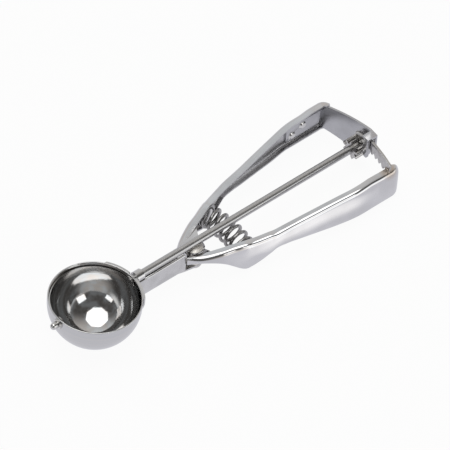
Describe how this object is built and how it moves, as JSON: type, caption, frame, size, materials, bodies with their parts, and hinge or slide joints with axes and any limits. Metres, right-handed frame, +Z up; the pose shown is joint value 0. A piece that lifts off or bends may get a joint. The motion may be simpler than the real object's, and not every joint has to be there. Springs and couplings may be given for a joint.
{
  "type": "ice cream scoop",
  "caption": "Squeeze-handle ice cream scoop: a half-sphere bowl on a folded neck, sprung channel handles, and a rack and pinion that turns a long rod and sweeps a wiper through the bowl.",
  "frame": {"origin": "on the surface that the scoop lies on, under the middle of its bounding box", "axes": "+X from the bowl to the handle ends along the scoop's length, +Z up from the surface that it lies on, +Y to the fixed handle's side"},
  "size_m": [0.2148, 0.0634, 0.0304],
  "materials": {
    "bowl_steel": "mirror-polished stainless steel",
    "handle_steel": "polished stainless steel sheet",
    "pressed_steel": "polished stainless steel sheet",
    "rod_steel": "drawn stainless steel rod",
    "strip_steel": "rolled stainless strip",
    "turned_steel": "turned and riveted stainless steel",
    "spring_wire": "bright spring wire",
    "plate_steel": "satin stainless steel plate",
    "gear_steel": "cut and tumbled stainless steel"
  },
  "bodies": {
    "frame": {"bowl": "bowl_steel", "front_boss": "turned_steel", "neck": "pressed_steel", "rod_guide": "pressed_steel", "pivot_pin": "turned_steel", "pivot_bush": "turned_steel", "pivot_spacer": "turned_steel", "pivot_washer": "turned_steel", "fixed_handle": "handle_steel", "fixed_spring_seat": "turned_steel", "spring": "spring_wire", "arc_plate": "plate_steel", "plate_rivets": "turned_steel"},
    "squeeze_side": {"squeeze_handle": "handle_steel", "squeeze_spring_seat": "turned_steel", "rack": "gear_steel"},
    "shaft": {"rod": "rod_steel", "pinion": "gear_steel", "wiper": "strip_steel", "front_pin": "turned_steel"}
  },
  "joints": [
    {"name": "squeeze", "type": "hinge", "parent": "frame", "child": "squeeze_side", "pos_m": [-0.00939, 0, 0.02004], "axis": [0.0724, 0, 0.9974], "range_deg": [0, 7.7], "stiffness_Nm_per_rad": 0.65, "springref_deg": -8.59, "deforming": ["spring"]},
    {"name": "wiper_turn", "type": "hinge", "parent": "frame", "child": "shaft", "pos_m": [-0.07771, 0, 0.025], "axis": [0.9974, 0, -0.0724], "range_deg": [-180, 0]}
  ],
  "couplings": [
    {"joint": "wiper_turn", "follows": "squeeze", "ratio": -22.626}
  ]
}
